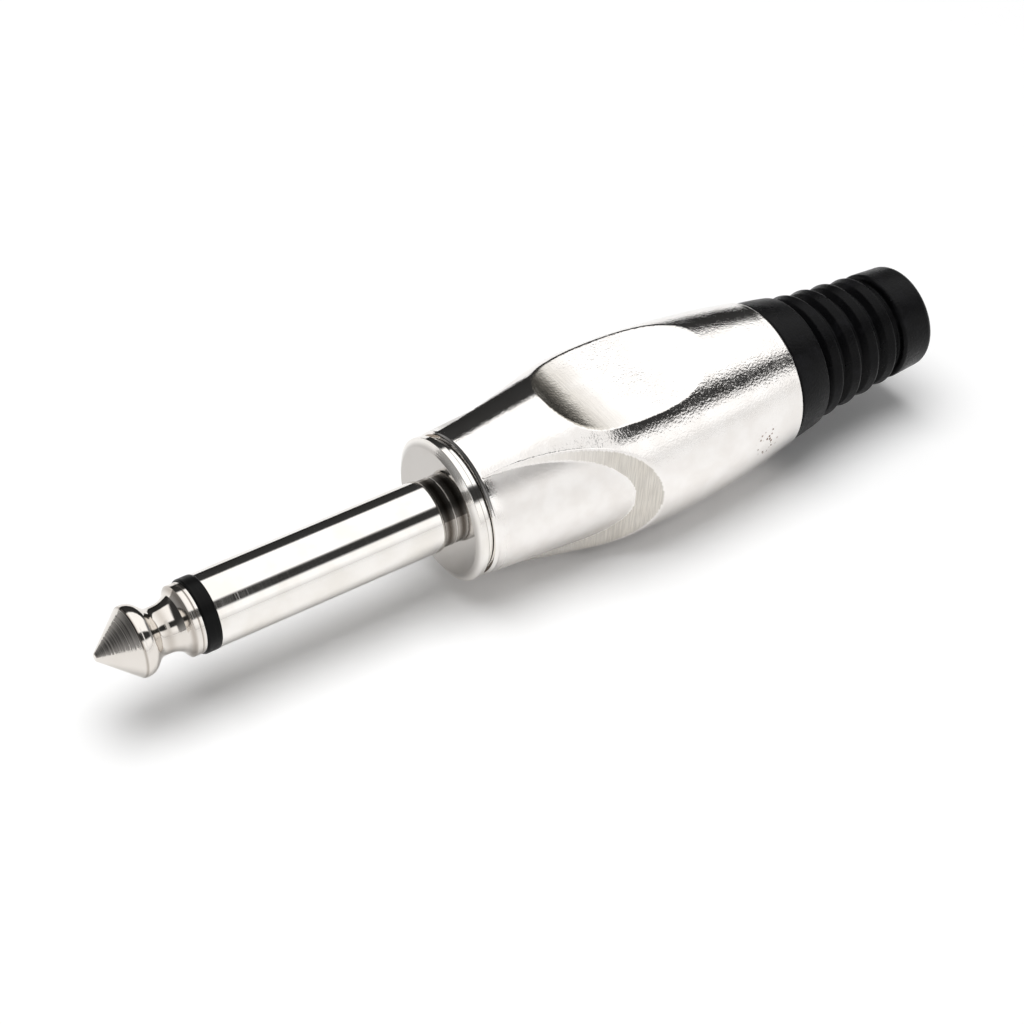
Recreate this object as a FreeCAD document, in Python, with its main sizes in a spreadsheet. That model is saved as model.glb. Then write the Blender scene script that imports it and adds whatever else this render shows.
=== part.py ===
import FreeCAD, Part
import math
import os
import re

import Sketcher


# Mono jack plug, 6.35 mm shank, with a screwed die-cast shell and a rubber strain relief.
# Every piece is drawn along +X from the tip's apex, with the plug's axis on the X axis.
# In the finished frame the plug lies on its shell: the origin is under the middle of its
# length, on the surface it lies on, the tip points to -X and the cable leaves to +X.

SIZES = {
    # turned front
    "tip_reach": 31.75,
    "shank_radius": 3.175,
    "shank_chamfer": 0.25,
    "nose_radius": 0.32,
    "cone_length": 2.7,
    "cone_radius": 2.85,
    "ball_front": 3.33,
    "ball_front_radius": 3.14,
    "ball_back": 4.03,
    "ball_back_radius": 3.12,
    "ball_end": 4.65,
    "ball_end_radius": 2.8,
    "waist_start": 5.06,
    "waist_radius": 2.24,
    "waist_length": 0.85,
    "waist_depth": 0.13,
    "collar_start": 6.85,
    "collar_radius": 3.02,
    "collar_length": 1.1,
    "ring_length": 1.6,
    "spigot_radius": 2.45,
    "spigot_length": 2.6,
    "neck_radius": 3.0,
    "neck_length": 1.1,
    # flange and threaded body
    "flange_radius": 6.4,
    "flange_length": 0.92,
    "flange_bevel": 0.38,
    "flange_bevel_depth": 0.72,
    "step_radius": 5.95,
    "step_length": 0.62,
    "thread_radius": 5.5,
    "thread_length": 6.5,
    "thread_chamfer": 0.4,
    "boss_radius": 3.0,
    "rivet_lip": 0.35,
    "rivet_length": 0.35,
    # centre rod and its insulation
    "rod_radius": 1.2,
    "rod_in_tip": 3.6,
    "tube_radius": 1.95,
    "head_radius": 1.9,
    "head_length": 0.7,
    "head_bevel": 0.35,
    "hole_clearance": 0.02,
    # solder lugs
    "lug_thickness": 0.5,
    "earth_disc_radius": 4.7,
    "strip_width": 2.8,
    "strip_length": 15.6,
    "clamp_inner": 3.5,
    "clamp_length": 4.2,
    "clamp_arm": 1.7,
    "washer_gap": 0.1,
    "washer_thickness": 0.8,
    "tag_radius": 2.6,
    "tag_height": 2.05,
    "tag_width": 2.2,
    "tag_length": 6.6,
    "tag_hole_radius": 0.7,
    "tag_hole_edge": 1.5,
    # insulating sleeve round the lugs
    "liner_wall": 0.4,
    "liner_end_gap": 1.75,
    "liner_clearance": 0.1,
    # shell
    "seat_clearance": 0.05,
    "shell_length": 32.2,
    "core_radius": 6.45,
    "core_end_radius": 7.0,
    "front_chamfer": 0.2,
    "flare_end": 10.4,
    "flare_end_radius": 8.03,
    "flare_swell": 0.12,
    "crown_at": 15.9,
    "crown_radius": 8.5,
    "rear_radius": 6.95,
    "rear_chamfer": 0.25,
    "seat_length": 7.0,
    "cavity_radius": 5.75,
    # oval scoops, above and below
    "oval_start": 8.5,
    "oval_end": 24.4,
    "oval_floor": 6.75,
    "oval_wall_length": 3.5,
    "oval_run_out": 6.5,
    "oval_overshoot": 0.8,
    # front scoops, on both flanks
    "flank_start_height": 3.3,
    "flank_end": 15.7,
    "flank_round": 31.0,
    # rubber boot
    "boot_clearance": 0.1,
    "boot_flange_radius": 6.3,
    "boot_flange_length": 1.7,
    "lip_length": 2.4,
    "boot_neck_radius": 5.75,
    "boot_throat_radius": 4.6,
    "boot_throat_length": 9.0,
    "cable_radius": 3.05,
    "band_radius": 6.7,
    "band_length": 3.61,
    "band_end_radius": 6.12,
    "first_groove_length": 0.7,
    "ridge_radius": 5.85,
    "ridge_taper": 0.22,
    "ridge_height": 0.85,
    "ridge_length": 1.25,
    "groove_length": 1.02,
    "cap_length": 3.66,
    "cap_radius": 5.0,
    "cap_end_radius": 4.7,
    "cap_chamfer": 0.35,
}

RIDGES = 4
LIE_ANGLE = 6.0  # how far the plug is turned about its axis, in degrees

doc = FreeCAD.newDocument("MonoJackPlug")
dims = doc.addObject("Spreadsheet::Sheet", "Dims")
for row, (size, value) in enumerate(SIZES.items(), start=1):
    dims.set("A%d" % row, size)
    dims.set("B%d" % row, "%g" % value)
    dims.setAlias("B%d" % row, size)
doc.recompute()


def cells(text):
    """Write a formula of size names as one that reads the sheet."""
    return re.sub(r"[a-z_]{2,}", lambda m: ("Dims." if m.group(0) in SIZES else "") + m.group(0), text)


def number(text):
    return float(dims.evalExpression(cells(text)))


# Stations along the axis, from the tip's apex.
COLLAR_END = "(collar_start + collar_length)"
RING_END = "(%s + ring_length)" % COLLAR_END
SPIGOT_END = "(%s + spigot_length)" % RING_END
STEP_START = "(tip_reach + flange_length)"
THREAD_START = "(%s + step_length)" % STEP_START
THREAD_END = "(%s + thread_length)" % THREAD_START
DISC_END = "(%s + lug_thickness)" % THREAD_END
BOSS_END = "(%s + rivet_length)" % DISC_END
WASHER_END = "(%s + washer_thickness)" % BOSS_END
TAG_END = "(%s + lug_thickness)" % WASHER_END
SHELL_START = "(%s + seat_clearance)" % THREAD_START
SHELL_END = "(%s + shell_length)" % SHELL_START
LIP_START = "(%s - lip_length)" % SHELL_END
BOOT_START = "(%s - boot_clearance - boot_flange_length)" % LIP_START
BAND_START = "(%s + boot_clearance)" % SHELL_END
BAND_END = "(%s + band_length)" % BAND_START
RIDGES_START = "(%s + first_groove_length)" % BAND_END
CAP_START = "(%s + %d * (ridge_length + groove_length))" % (RIDGES_START, RIDGES)
BOOT_END = "(%s + cap_length)" % CAP_START
LINER_INNER = "(earth_disc_radius + liner_clearance)"
CLAMP_OUTER = "(clamp_inner + lug_thickness)"
WASHER_RADIUS = "(clamp_inner - washer_gap)"
RIVET_RADIUS = "(boss_radius + rivet_lip)"
LINER_LENGTH = "(%s - liner_end_gap - %s)" % (BOOT_START, THREAD_END)

# Radius of the barrel where the oval scoops start and end, and the rounds that lead there.
BACK_LENGTH = "(shell_length - rear_chamfer - crown_at)"
BACK_FALL = "(crown_radius - rear_radius)"
BACK_ROUND = "((%s ^ 2 + %s ^ 2) / (2 * %s))" % (BACK_LENGTH, BACK_FALL, BACK_FALL)
BACK_REST = "(shell_length - rear_chamfer - oval_end)"


def back_radius(past_crown):
    """Radius of the barrel that far behind its crown, on the round that falls to its rear end."""
    return "(crown_radius - %s + sqrt(%s ^ 2 - %s ^ 2))" % (BACK_ROUND, BACK_ROUND, past_crown)


OVAL_END_RADIUS = back_radius("(oval_end - crown_at)")
FLARE_SLOPE = "((flare_end_radius - core_radius) / (flare_end - front_chamfer))"
OVAL_START_RADIUS = "(core_radius + (oval_start - front_chamfer) * %s)" % FLARE_SLOPE
WALL_RISE = "(%s - oval_floor)" % OVAL_START_RADIUS
WALL_ROUND = "((oval_wall_length ^ 2 + %s ^ 2) / (2 * %s))" % (WALL_RISE, WALL_RISE)
RUN_RISE = "(%s - oval_floor)" % OVAL_END_RADIUS
RUN_ROUND = "((oval_run_out ^ 2 + %s ^ 2) / (2 * %s))" % (RUN_RISE, RUN_RISE)


def new_body(label):
    body = doc.addObject("PartDesign::Body", label)
    body.Label = label
    body.Placement.Rotation = FreeCAD.Rotation(FreeCAD.Vector(1, 0, 0), LIE_ANGLE)
    body.setExpression("Placement.Base.x", cells("-%s / 2" % BOOT_END))
    body.setExpression("Placement.Base.z", cells(OVAL_END_RADIUS))
    return body


def plane(body, role):
    return next(item for item in body.Origin.OriginFeatures if item.Role == role)


def new_sketch(body, name, role, offset=None):
    sketch = body.newObject("Sketcher::SketchObject", name)
    sketch.AttachmentSupport = (plane(body, role), [""])
    sketch.MapMode = "FlatFace"
    if offset is not None:
        sketch.setExpression("AttachmentOffset.Base.z", cells(offset))
    return sketch


def bind(sketch, constraint, text):
    index = sketch.addConstraint(constraint)
    sketch.setExpression("Constraints[%d]" % index, cells(text))


def pin_point(sketch, edge, end, along, out):
    """Hold one end of an edge at a distance along and out from the sketch's origin."""
    for kind, axis, text in (("DistanceX", -2, along), ("DistanceY", -1, out)):
        if text == "0":
            sketch.addConstraint(Sketcher.Constraint("PointOnObject", edge, end, axis))
        else:
            bind(sketch, Sketcher.Constraint(kind, -1, 1, edge, end, number(text)), text)


def outline(sketch, points):
    """Draw a closed outline. A point is (along, out), or (along, out, radius, side) where the
    edge that leads to it is an arc, which bows to the left of its way with side 1."""
    spots = [FreeCAD.Vector(number(point[0]), number(point[1]), 0) for point in points]
    first = sketch.GeometryCount
    ends = []
    for index, point in enumerate(points):
        start = spots[index - 1]
        end = spots[index]
        if len(point) == 2:
            sketch.addGeometry(Part.LineSegment(start, end), False)
            ends.append((1, 2))
            continue
        radius = number(point[2])
        chord = end - start
        rise = math.sqrt(radius ** 2 - (chord.Length / 2) ** 2)
        right = FreeCAD.Vector(chord.y, -chord.x, 0).normalize()
        centre = (start + end) * 0.5 + right * rise * point[3]
        clockwise = point[3] > 0
        low, high = (end, start) if clockwise else (start, end)
        low_angle = math.atan2(low.y - centre.y, low.x - centre.x)
        high_angle = math.atan2(high.y - centre.y, high.x - centre.x)
        if high_angle < low_angle:
            high_angle += 2 * math.pi
        circle = Part.Circle(centre, FreeCAD.Vector(0, 0, 1), radius)
        sketch.addGeometry(Part.ArcOfCircle(circle, low_angle, high_angle), False)
        ends.append((2, 1) if clockwise else (1, 2))
    for index, point in enumerate(points):
        edge = first + index
        following = (index + 1) % len(points)
        sketch.addConstraint(Sketcher.Constraint("Coincident", edge, ends[index][1],
                                                 first + following, ends[following][0]))
        pin_point(sketch, edge, ends[index][1], point[0], point[1])
        if len(point) == 4:
            bind(sketch, Sketcher.Constraint("Radius", edge, number(point[2])), point[2])


def circle(sketch, radius, along="0", out="0"):
    edge = sketch.addGeometry(Part.Circle(FreeCAD.Vector(number(along), number(out), 0),
                                          FreeCAD.Vector(0, 0, 1), number(radius)), False)
    if along == "0" and out == "0":
        sketch.addConstraint(Sketcher.Constraint("Coincident", edge, 3, -1, 1))
    else:
        pin_point(sketch, edge, 3, along, out)
    bind(sketch, Sketcher.Constraint("Radius", edge, number(radius)), radius)


def finish(body, feature):
    body.Tip = feature
    doc.recompute()
    return feature


def turned(body, name, points, kind="PartDesign::Revolution"):
    """Turn an outline, given as (station, radius) points, about the plug's axis."""
    sketch = new_sketch(body, name + "Profile", "XY_Plane")
    outline(sketch, points)
    feature = body.newObject(kind, name)
    feature.Profile = sketch
    feature.ReferenceAxis = (sketch, ["H_Axis"])
    feature.Angle = 360
    return finish(body, feature)


def pad(body, name, station, length, draw):
    """Pad what draw puts in a sketch square to the axis, from its station towards +X."""
    sketch = new_sketch(body, name + "Profile", "YZ_Plane", station)
    draw(sketch)
    feature = body.newObject("PartDesign::Pad", name)
    feature.Profile = sketch
    feature.setExpression("Length", cells(length))
    return finish(body, feature)


def through_cut(body, name, role, draw, width):
    """Cut what draw puts in a sketch, to both sides of its plane."""
    sketch = new_sketch(body, name + "Profile", role)
    draw(sketch)
    volume = body.Shape.Volume
    feature = body.newObject("PartDesign::Pocket", name)
    feature.Profile = sketch
    feature.SideType = "Symmetric"
    feature.setExpression("Length", cells(width))
    finish(body, feature)
    if not body.Shape.Volume < volume - 1e-6:
        raise RuntimeError(name + " cuts nothing")
    return feature


def opposite(body, name, feature, role):
    """Repeat a cut on the far side of the axis."""
    volume = body.Shape.Volume
    mirror = body.newObject("PartDesign::Mirrored", name)
    mirror.Originals = [feature]
    mirror.MirrorPlane = (plane(body, role), [""])
    finish(body, mirror)
    if not body.Shape.Volume < volume - 1e-6:
        raise RuntimeError(name + " cuts nothing")
    return mirror


def ring(sketch, outer, inner):
    circle(sketch, outer)
    circle(sketch, inner)


# Tip contact: a turned cone, ball and collar, bored from behind for the centre rod.
tip = new_body("tip")
turned(tip, "TipBody", [
    ("0", "0"),
    ("0", "nose_radius"),
    ("cone_length", "cone_radius"),
    ("ball_front", "ball_front_radius"),
    ("ball_back", "ball_back_radius"),
    ("ball_end", "ball_end_radius"),
    ("waist_start", "waist_radius"),
    ("waist_start + waist_length / 2", "waist_radius - waist_depth"),
    ("waist_start + waist_length", "waist_radius"),
    ("collar_start", "collar_radius"),
    (COLLAR_END, "collar_radius"),
    (COLLAR_END, "rod_radius + hole_clearance"),
    (COLLAR_END + " - rod_in_tip", "rod_radius + hole_clearance"),
    (COLLAR_END + " - rod_in_tip", "0"),
])

# Black insulating ring between tip and shank, with the spigot that centres it in the shank.
ring_body = new_body("insulating_ring")
turned(ring_body, "Ring", [
    (COLLAR_END, "rod_radius + hole_clearance"),
    (COLLAR_END, "shank_radius"),
    (RING_END, "shank_radius"),
    (RING_END, "spigot_radius"),
    (SPIGOT_END, "spigot_radius"),
    (SPIGOT_END, "rod_radius + hole_clearance"),
])

# Shank, neck, flange and threaded body, turned in one piece.
sleeve = new_body("sleeve")
turned(sleeve, "SleeveBody", [
    (RING_END, "spigot_radius + hole_clearance"),
    (RING_END, "shank_radius"),
    ("tip_reach - neck_length - shank_chamfer", "shank_radius"),
    ("tip_reach - neck_length", "shank_radius - shank_chamfer"),
    ("tip_reach - neck_length", "neck_radius"),
    ("tip_reach", "neck_radius"),
    ("tip_reach", "flange_radius - flange_bevel_depth"),
    ("tip_reach + flange_bevel", "flange_radius"),
    (STEP_START, "flange_radius"),
    (STEP_START, "step_radius"),
    (THREAD_START, "step_radius"),
    (THREAD_START, "thread_radius"),
    (THREAD_END + " - thread_chamfer", "thread_radius"),
    (THREAD_END, "thread_radius - thread_chamfer"),
    (THREAD_END, "boss_radius"),
    (DISC_END, "boss_radius"),
    (DISC_END, RIVET_RADIUS),
    (BOSS_END, RIVET_RADIUS),
    (BOSS_END, "tube_radius + hole_clearance"),
    (SPIGOT_END, "tube_radius + hole_clearance"),
    (SPIGOT_END, "spigot_radius + hole_clearance"),
])

# Centre rod: carries the tip through the shank and is headed over behind the tip's lug.
rod = new_body("centre_rod")
turned(rod, "Rod", [
    (COLLAR_END + " - rod_in_tip + hole_clearance", "0"),
    (COLLAR_END + " - rod_in_tip + hole_clearance", "rod_radius"),
    (TAG_END, "rod_radius"),
    (TAG_END, "head_radius"),
    (TAG_END + " + head_bevel", "head_radius"),
    (TAG_END + " + head_length", "rod_radius"),
    (TAG_END + " + head_length", "0"),
])

# Insulating tube between the rod and the shank.
tube = new_body("insulating_tube")
turned(tube, "Tube", [
    (SPIGOT_END, "rod_radius + hole_clearance"),
    (SPIGOT_END, "tube_radius"),
    (BOSS_END, "tube_radius"),
    (BOSS_END, "rod_radius + hole_clearance"),
])

# Earth lug: a disc riveted to the body, with a strip that carries the cable clamp.
earth = new_body("earth_lug")
pad(earth, "EarthDisc", THREAD_END, "lug_thickness",
    lambda sketch: ring(sketch, "earth_disc_radius", "boss_radius + hole_clearance"))
pad(earth, "EarthStrip", THREAD_END, "strip_length", lambda sketch: outline(sketch, [
    ("-strip_width / 2", "-%s" % CLAMP_OUTER),
    ("strip_width / 2", "-%s" % CLAMP_OUTER),
    ("strip_width / 2", "-clamp_inner"),
    ("-strip_width / 2", "-clamp_inner"),
]))
pad(earth, "CableClamp", "%s + strip_length - clamp_length" % THREAD_END, "clamp_length",
    lambda sketch: outline(sketch, [
        ("-%s" % CLAMP_OUTER, "clamp_arm"),
        ("-%s" % CLAMP_OUTER, "0"),
        ("0", "-%s" % CLAMP_OUTER, CLAMP_OUTER, -1),
        (CLAMP_OUTER, "0", CLAMP_OUTER, -1),
        (CLAMP_OUTER, "clamp_arm"),
        ("clamp_inner", "clamp_arm"),
        ("clamp_inner", "0"),
        ("0", "-clamp_inner", "clamp_inner", 1),
        ("-clamp_inner", "0", "clamp_inner", 1),
        ("-clamp_inner", "clamp_arm"),
    ]))

# Fibre washer between the two lugs.
washer = new_body("lug_washer")
pad(washer, "Washer", BOSS_END, "washer_thickness",
    lambda sketch: ring(sketch, WASHER_RADIUS, "rod_radius + hole_clearance"))

# Tip lug: a disc under the rod's head, with a tag and its solder hole.
tag = new_body("tip_lug")
pad(tag, "TagDisc", WASHER_END, "lug_thickness",
    lambda sketch: ring(sketch, "tag_radius", "rod_radius + hole_clearance"))
pad(tag, "TagStrip", WASHER_END, "tag_length", lambda sketch: outline(sketch, [
    ("-tag_width / 2", "tag_height"),
    ("tag_width / 2", "tag_height"),
    ("tag_width / 2", "tag_height + lug_thickness"),
    ("-tag_width / 2", "tag_height + lug_thickness"),
]))
through_cut(tag, "SolderHole", "XY_Plane",
            lambda sketch: circle(sketch, "tag_hole_radius",
                                  "%s + tag_length - tag_hole_edge" % WASHER_END, "0"),
            "4 * tag_height")

# Plastic liner that keeps the lugs off the shell.
liner = new_body("liner")
pad(liner, "Liner", THREAD_END, LINER_LENGTH,
    lambda sketch: ring(sketch, LINER_INNER + " + liner_wall", LINER_INNER))

# Shell: a barrel with two oval scoops and two front ones, cast, then bored from both ends.
shell = new_body("shell")
turned(shell, "Barrel", [
    (SHELL_START, "0"),
    (SHELL_START, "core_radius - front_chamfer"),
    (SHELL_START + " + front_chamfer", "core_radius"),
    (SHELL_START + " + flare_end", "flare_end_radius"),
    (SHELL_START + " + (flare_end + crown_at) / 2", "(flare_end_radius + crown_radius) / 2 + flare_swell"),
    (SHELL_START + " + crown_at", "crown_radius"),
    (SHELL_START + " + (crown_at + oval_end) / 2", back_radius("(oval_end - crown_at) / 2")),
    (SHELL_START + " + oval_end", OVAL_END_RADIUS),
    (SHELL_START + " + oval_end + %s / 2" % BACK_REST,
     back_radius("(oval_end - crown_at + %s / 2)" % BACK_REST)),
    (SHELL_END + " - rear_chamfer", "rear_radius"),
    (SHELL_END, "rear_radius - rear_chamfer"),
    (SHELL_END, "0"),
])
front_scoop = through_cut(shell, "FrontScoop", "XY_Plane", lambda sketch: outline(sketch, [
    (SHELL_START, "flank_start_height"),
    (SHELL_START + " + flank_end", "crown_radius", "flank_round", -1),
    (SHELL_START + " + flank_end", "2 * crown_radius"),
    (SHELL_START, "2 * crown_radius"),
]), "4 * crown_radius")
opposite(shell, "FrontScoopBack", front_scoop, "XZ_Plane")
turned(shell, "Core", [
    (SHELL_START, "0"),
    (SHELL_START, "core_radius - front_chamfer"),
    (SHELL_START + " + front_chamfer", "core_radius"),
    (SHELL_START + " + flank_end", "core_end_radius"),
    (SHELL_START + " + flank_end", "0"),
])
OVAL_FRONT = "(%s + oval_start - oval_overshoot)" % SHELL_START
OVAL_BACK = "(%s + oval_end + oval_overshoot)" % SHELL_START
oval_scoop = through_cut(shell, "OvalScoop", "XZ_Plane", lambda sketch: outline(sketch, [
    (OVAL_FRONT, "2 * crown_radius"),
    (OVAL_FRONT, "oval_floor + %s - sqrt(%s ^ 2 - (oval_wall_length + oval_overshoot) ^ 2)"
     % (WALL_ROUND, WALL_ROUND)),
    (SHELL_START + " + oval_start + oval_wall_length", "oval_floor", WALL_ROUND, -1),
    (SHELL_START + " + oval_end - oval_run_out", "oval_floor"),
    (OVAL_BACK, "oval_floor + %s - sqrt(%s ^ 2 - (oval_run_out + oval_overshoot) ^ 2)"
     % (RUN_ROUND, RUN_ROUND), RUN_ROUND, -1),
    (OVAL_BACK, "2 * crown_radius"),
]), "4 * crown_radius")
opposite(shell, "OvalScoopBelow", oval_scoop, "XY_Plane")
POCKET_START = "(%s - boot_clearance)" % BOOT_START
turned(shell, "Bore", [
    (SHELL_START, "0"),
    (SHELL_START, "thread_radius + seat_clearance"),
    (SHELL_START + " + seat_length", "thread_radius + seat_clearance"),
    (SHELL_START + " + seat_length", "cavity_radius"),
    (POCKET_START, "cavity_radius"),
    (POCKET_START, "boot_flange_radius + boot_clearance"),
    (LIP_START, "boot_flange_radius + boot_clearance"),
    (LIP_START, "boot_neck_radius + boot_clearance"),
    (SHELL_END, "boot_neck_radius + boot_clearance"),
    (SHELL_END, "0"),
], "PartDesign::Groove")

# Rubber boot: an inner flange behind the shell's lip, a band, ridges, and a plain cap.
boot = new_body("boot")
boot_points = [
    (BOOT_START, "boot_throat_radius"),
    (BOOT_START, "boot_flange_radius"),
    (BOOT_START + " + boot_flange_length", "boot_flange_radius"),
    (BOOT_START + " + boot_flange_length", "boot_neck_radius"),
    (BAND_START, "boot_neck_radius"),
    (BAND_START, "band_radius"),
    (BAND_END, "band_end_radius"),
]
for index in range(RIDGES):
    ridge_start = "(%s + %d * (ridge_length + groove_length))" % (RIDGES_START, index)
    crest = "ridge_radius - %d * ridge_taper" % index
    boot_points.append((boot_points[-1][0], crest + " - ridge_height"))
    boot_points.append((ridge_start, crest + " - ridge_height"))
    boot_points.append((ridge_start, crest))
    boot_points.append((ridge_start + " + ridge_length", crest))
boot_points += [
    (boot_points[-1][0], "cap_radius - ridge_height"),
    (CAP_START, "cap_radius - ridge_height"),
    (CAP_START, "cap_radius"),
    (BOOT_END + " - cap_chamfer", "cap_end_radius"),
    (BOOT_END, "cap_end_radius - cap_chamfer"),
    (BOOT_END, "cable_radius"),
    (BOOT_START + " + boot_throat_length", "cable_radius"),
    (BOOT_START + " + boot_throat_length", "boot_throat_radius"),
]
turned(boot, "Boot", boot_points)

doc.recompute()
for item in doc.Objects:
    if any(word in item.State for word in ("Invalid", "Error")):
        raise RuntimeError("%s did not compute: %s" % (item.Name, item.State))

BODIES = [tip, ring_body, sleeve, rod, tube, earth, washer, tag, liner, shell, boot]
for body in BODIES:
    shape = body.Shape
    if shape.isNull() or not shape.isValid() or len(shape.Solids) != 1:
        raise RuntimeError(body.Label + " is not one valid solid")

os.makedirs("parts", exist_ok=True)
for body in BODIES:
    body.Shape.exportStep(os.path.join("parts", body.Label + ".step"))
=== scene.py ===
import math

import bpy
import numpy as np
from mathutils import Matrix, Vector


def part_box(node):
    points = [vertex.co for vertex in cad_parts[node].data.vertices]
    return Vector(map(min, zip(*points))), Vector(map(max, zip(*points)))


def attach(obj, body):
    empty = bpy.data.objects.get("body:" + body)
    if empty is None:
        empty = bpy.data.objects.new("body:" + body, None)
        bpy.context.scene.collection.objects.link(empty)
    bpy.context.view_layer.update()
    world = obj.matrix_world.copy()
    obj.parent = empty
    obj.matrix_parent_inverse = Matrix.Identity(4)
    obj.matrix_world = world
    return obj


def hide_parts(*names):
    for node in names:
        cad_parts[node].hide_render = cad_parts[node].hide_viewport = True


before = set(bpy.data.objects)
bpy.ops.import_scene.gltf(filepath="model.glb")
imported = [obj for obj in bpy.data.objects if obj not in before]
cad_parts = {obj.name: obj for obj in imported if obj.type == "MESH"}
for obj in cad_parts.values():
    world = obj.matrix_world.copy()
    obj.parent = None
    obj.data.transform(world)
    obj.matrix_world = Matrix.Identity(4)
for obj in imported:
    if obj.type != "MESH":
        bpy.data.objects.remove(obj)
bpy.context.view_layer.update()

# The frame is in metres. The plug's sizes are in millimetres, and a station is the distance
# along its axis from the end of the tip.
MM = 0.001
MICRON = 0.000001
TIP_LOW, TIP_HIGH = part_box("tip")
APEX_X = TIP_LOW[0]
AXIS_Z = (TIP_LOW[2] + TIP_HIGH[2]) / 2
LIE_ANGLE = math.radians(6.0)

# Sizes of the tip and the black ring
NOSE_RADIUS = 0.32
CONE_END = 3.06
COLLAR_START = 7.42
COLLAR_RADIUS = 3.04
COLLAR_LINE = 7.9
LINE_DEPTH = 0.03
ROD_IN_TIP = 3.6
ROD_HOLE_RADIUS = 1.24
RING_START = 8.3
RING_END = 9.55
RING_RADIUS = 3.2
RING_BEVEL = 0.15
SPIGOT_END = 12.15
SPIGOT_RADIUS = 2.45
HOLE_CLEARANCE = 0.02

# Sizes of the shank, neck, flange and threaded body
SHANK_RADIUS = 3.175
NECK_START = 30.65
NECK_RADIUS = 3.0
FLANGE = 31.75
FLANGE_RADIUS = 6.4
FLANGE_BEVEL = 0.38
FLANGE_BEVEL_DEPTH = 0.72
STEP_START = 32.67
STEP_RADIUS = 5.95
TUBE_HOLE_RADIUS = 1.95 + HOLE_CLEARANCE
THREAD_START = 33.29
THREAD_STOP = 39.4
THREAD_END = 39.79
THREAD_PITCH = 0.75
THREAD_ROOT = 5.1
THREAD_HEIGHT = 0.4
THREAD_RING_GAP = 0.094
BOSS_RADIUS = 3.0
LUG_THICKNESS = 0.5
RIVET_LENGTH = 0.35
RIVET_RADIUS = 3.35

# Sizes of the shell, its bore and its internal thread
SHELL_START = 33.34
SHELL_LENGTH = 32.2
SHELL_END = SHELL_START + SHELL_LENGTH
SEAT_LENGTH = 7.0
CAVITY_RADIUS = 5.75
NUT_START = SHELL_START + 0.5
NUT_END = SHELL_START + 6.95
NUT_RADIUS = 5.55
NUT_THREAD_HEIGHT = 0.33
NUT_RING_GAP = 0.105

# Curves of the shell and its scoops, with their places counted from the shell's front end
FRONT_CHAMFER = 0.2
CORE_RADIUS = 6.45
CORE_END_RADIUS = 7.35
FLARE_END = 10.4
FLARE_RADIUS = 8.03
FLARE_ROUND = 31.0
CROWN_AT = 15.9
CROWN_RADIUS = 8.5
REAR_RADIUS = 6.95
REAR_ROUND = 0.25
REAR_AT = SHELL_LENGTH - REAR_ROUND
FLANK_ROUND = 31.0
FLANK_CENTRE = (-1.544, 34.261)
FLANK_END = 15.7
FLANK_STOP = FLANK_END - 0.01
OVAL_FROM_AT, OVAL_TO_AT = 5.6, 26.0
OVAL_FLOOR = 6.75
OVAL_FLOOR_AT, OVAL_FLOOR_END = 12.0, 17.9
OVAL_FRONT_ROUND = 6.705
OVAL_REAR_ROUND = 16.687

# Sizes of the boot
BOOT_CLEARANCE = 0.1
BOOT_NECK_RADIUS = 5.75
BOOT_FLANGE_RADIUS = 6.3
BOOT_FLANGE_LENGTH = 1.7
LIP_START = SHELL_END - 2.4
BOOT_START = LIP_START - BOOT_CLEARANCE - BOOT_FLANGE_LENGTH
BAND_START = SHELL_END + BOOT_CLEARANCE
BAND_END = BAND_START + 3.61
BAND_RADIUS = 6.7
BAND_END_RADIUS = 6.12
BAND_ROUND = 30.0
RIDGES = 4
RIDGES_START = BAND_END + 0.7
RIDGE_SPACING = 2.27
RIDGE_LENGTH = 1.25
RIDGE_RADIUS = 5.85
RIDGE_TAPER = 0.22
RIDGE_HEIGHT = 0.85
CAP_START = RIDGES_START + RIDGES * RIDGE_SPACING
CAP_RADIUS = 5.02
CAP_END_RADIUS = 4.78
BOOT_END = CAP_START + 3.66
CABLE_RADIUS = 3.05
THROAT_RADIUS = 4.6
THROAT_END = BOOT_START + 9.0


# Turned meshes

FACET = 14.0  # degrees that one facet of a rounded corner turns
STRAIGHT = 1e-4  # a turn, in radians, too small for a round
STATION_STEP = 0.004  # half the length over which a slope is taken
ANGLE_STEP = 0.0005  # the same for the angle, in radians


def angles(columns):
    return np.arange(columns) * 2 * math.pi / columns


def unit(vectors):
    return vectors / np.linalg.norm(vectors, axis=-1, keepdims=True)


def turned_normals(columns, along, out):
    phi = angles(columns)
    return np.stack([np.full(columns, along), out * np.cos(phi), out * np.sin(phi)], axis=-1)


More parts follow.
